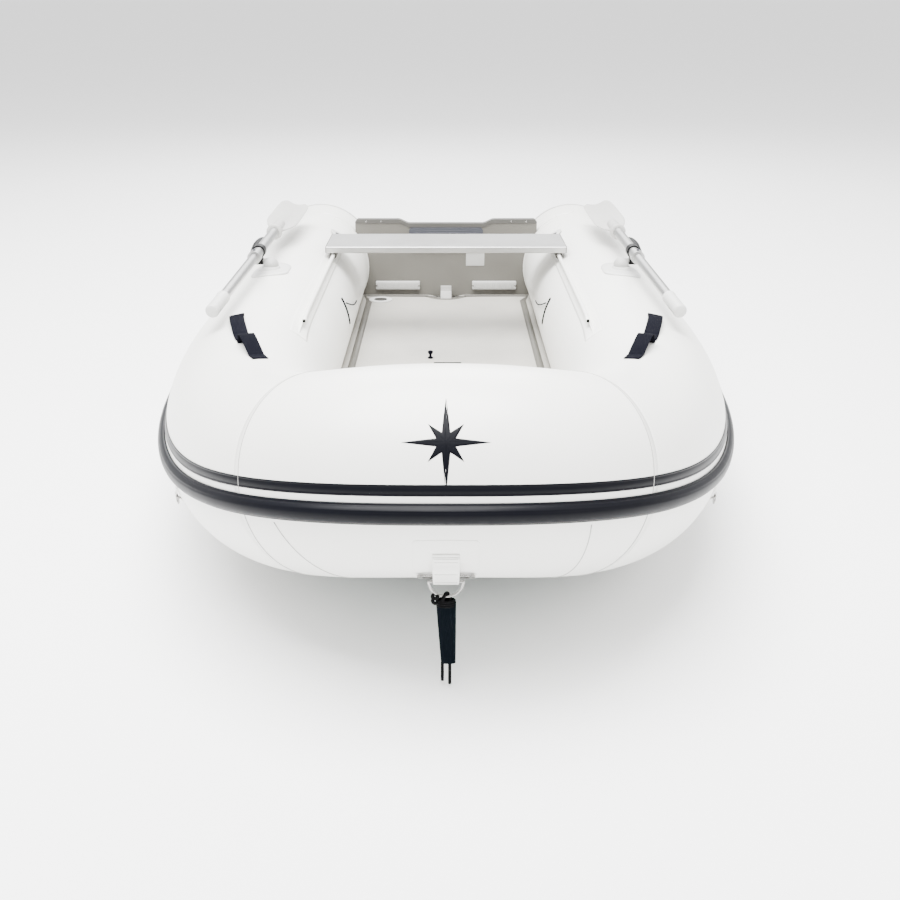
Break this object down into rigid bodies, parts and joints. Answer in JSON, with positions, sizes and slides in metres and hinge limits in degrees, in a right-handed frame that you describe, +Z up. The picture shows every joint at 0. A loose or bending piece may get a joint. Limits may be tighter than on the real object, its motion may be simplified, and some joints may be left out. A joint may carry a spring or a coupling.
{
  "type": "inflatable dinghy",
  "caption": "Open inflatable boat with a horseshoe tube, V bottom, air floor, transom, sliding seat and stowed oars in swivel locks.",
  "frame": {"origin": "middle of the footprint on the ground, on the centre plane, half way between the bow strake and the tube tails", "axes": "+Z up, +X to port, +Y towards the stern, so the bow points along -Y; the boat stands on its keel and its tube tails, bow up 2.4 degrees"},
  "size_m": [1.504, 3.0967, 0.6452],
  "materials": {
    "hull_fabric": "satin",
    "bottom_fabric": "satin",
    "strake_rubber": "satin",
    "floor_fabric": "matte",
    "yarn": "matte",
    "pale_plastic": "satin",
    "dark_plastic": "satin",
    "black_plastic": "satin",
    "transom_wood": "satin",
    "webbing": "matte",
    "rope": "matte",
    "aluminium": "satin",
    "steel": "polished",
    "sleeve": "matte"
  },
  "bodies": {
    "hull": {"bow_tube": "hull_fabric", "port_tube": "hull_fabric", "starboard_tube": "hull_fabric", "tube_baffles": "hull_fabric", "tail_cones": "hull_fabric", "rub_strake": "strake_rubber", "strake_stripe": "strake_rubber", "hull_skin": "bottom_fabric", "keel_tube": "bottom_fabric", "floor_skin": "floor_fabric", "drop_stitch_yarns": "yarn", "valve_bodies": "pale_plastic", "transom_board": "transom_wood", "transom_cap": "dark_plastic", "motor_pads": "dark_plastic", "floor_retainers": "dark_plastic", "centre_strap": "webbing", "transom_flaps": "hull_fabric", "drain_tube": "dark_plastic", "seat_rails": "hull_fabric", "bolt_ropes": "rope", "shoulder_handles": "webbing", "ring_patches": "hull_fabric", "bow_strap": "hull_fabric", "inner_straps": "webbing", "port_lifeline": "rope", "starboard_lifeline": "rope", "line_holders": "pale_plastic", "line_grips": "black_plastic", "oarlock_pads": "pale_plastic", "oarlock_pins": "steel", "tow_ring": "steel"},
    "floor_cap": {"floor_valve_cap": "dark_plastic"},
    "port_cap": {"port_valve_cap": "dark_plastic"},
    "starboard_cap": {"starboard_valve_cap": "dark_plastic"},
    "bow_cap": {"bow_valve_cap": "dark_plastic"},
    "plug": {"drain_plug": "black_plastic"},
    "seat": {"seat_plank": "aluminium", "seat_end_caps": "dark_plastic", "seat_channels": "dark_plastic"},
    "port_swivel": {"port_lock_swivel": "pale_plastic"},
    "port_oar": {"port_oar_clamp": "black_plastic", "port_outer_shaft": "aluminium", "port_blade": "pale_plastic"},
    "port_inner": {"port_inner_shaft": "aluminium", "port_grip": "pale_plastic"},
    "port_button": {"port_lock_button": "black_plastic"},
    "starboard_swivel": {"starboard_lock_swivel": "pale_plastic"},
    "starboard_oar": {"starboard_oar_clamp": "black_plastic", "starboard_outer_shaft": "aluminium", "starboard_blade": "pale_plastic"},
    "starboard_inner": {"starboard_inner_shaft": "aluminium", "starboard_grip": "pale_plastic"},
    "starboard_button": {"starboard_lock_button": "black_plastic"},
    "ring": {"bow_ring": "steel"},
    "handle": {"bow_handle": "sleeve", "bow_cord": "rope"},
    "port_ring": {"port_side_ring": "steel"},
    "starboard_ring": {"starboard_side_ring": "steel"}
  },
  "joints": [
    {"name": "floor_cap_turn", "type": "hinge", "parent": "hull", "child": "floor_cap", "pos_m": [-0.262, 1.02687, 0.1108], "axis": [0, 0.0414, 0.9991], "range_deg": [0, 90]},
    {"name": "port_cap_turn", "type": "hinge", "parent": "hull", "child": "port_cap", "pos_m": [0.39762, 0.86669, 0.3994], "axis": [-0.6018, 0.0331, 0.7979], "range_deg": [0, 90]},
    {"name": "starboard_cap_turn", "type": "hinge", "parent": "hull", "child": "starboard_cap", "pos_m": [-0.39762, 0.86669, 0.3994], "axis": [0.6018, 0.0331, 0.7979], "range_deg": [0, 90]},
    {"name": "bow_cap_turn", "type": "hinge", "parent": "hull", "child": "bow_cap", "pos_m": [0, -1.11577, 0.48128], "axis": [0, 0.9758, 0.2186], "range_deg": [0, 90]},
    {"name": "plug_pull", "type": "slide", "parent": "hull", "child": "plug", "axis": [0, 0.9991, -0.0414], "range_m": [0, 0.03]},
    {"name": "seat_slide", "type": "slide", "parent": "hull", "child": "seat", "axis": [0, -0.9991, 0.0414], "range_m": [-0.08, 0.66]},
    {"name": "port_oar_yaw", "type": "hinge", "parent": "hull", "child": "port_swivel", "pos_m": [0.54595, 0.0986, 0.48545], "axis": [0, -0.0414, -0.9991], "range_deg": [0, 90]},
    {"name": "port_oar_dip", "type": "hinge", "parent": "port_swivel", "child": "port_oar", "pos_m": [0.57895, 0.09928, 0.50203], "axis": [1, 0, 0], "range_deg": [-2, 2.8]},
    {"name": "port_oar_shorten", "type": "slide", "parent": "port_oar", "child": "port_inner", "axis": [-0.0244, 0.9996, -0.0118], "range_m": [0, 0.15]},
    {"name": "port_lock_press", "type": "slide", "parent": "port_oar", "child": "port_button", "axis": [-0.0007, -0.0118, -0.9999], "range_m": [0, 0.0025], "stiffness_N_per_m": 400},
    {"name": "starboard_oar_yaw", "type": "hinge", "parent": "hull", "child": "starboard_swivel", "pos_m": [-0.54595, 0.0986, 0.48545], "axis": [0, 0.0414, 0.9991], "range_deg": [0, 90]},
    {"name": "starboard_oar_dip", "type": "hinge", "parent": "starboard_swivel", "child": "starboard_oar", "pos_m": [-0.57895, 0.09928, 0.50203], "axis": [1, 0, 0], "range_deg": [-2, 2.8]},
    {"name": "starboard_oar_shorten", "type": "slide", "parent": "starboard_oar", "child": "starboard_inner", "axis": [0.0244, 0.9996, -0.0118], "range_m": [0, 0.15]},
    {"name": "starboard_lock_press", "type": "slide", "parent": "starboard_oar", "child": "starboard_button", "axis": [0.0007, -0.0118, -0.9999], "range_m": [0, 0.0025], "stiffness_N_per_m": 400},
    {"name": "bow_ring_swing", "type": "hinge", "parent": "hull", "child": "ring", "pos_m": [0, -1.43144, 0.24644], "axis": [-1, 0, 0], "range_deg": [-30, 80]},
    {"name": "handle_swing", "type": "hinge", "parent": "ring", "child": "handle", "pos_m": [0, -1.43144, 0.21244], "axis": [-1, 0, 0], "range_deg": [-35, 40]},
    {"name": "port_ring_swing", "type": "hinge", "parent": "hull", "child": "port_ring", "pos_m": [0.61344, -1.03555, 0.2427], "axis": [-0.3457, -0.9307, 0.1194], "range_deg": [-20, 90]},
    {"name": "starboard_ring_swing", "type": "hinge", "parent": "hull", "child": "starboard_ring", "pos_m": [-0.61344, -1.03555, 0.2427], "axis": [-0.3457, 0.9307, -0.1194], "range_deg": [-20, 90]}
  ]
}
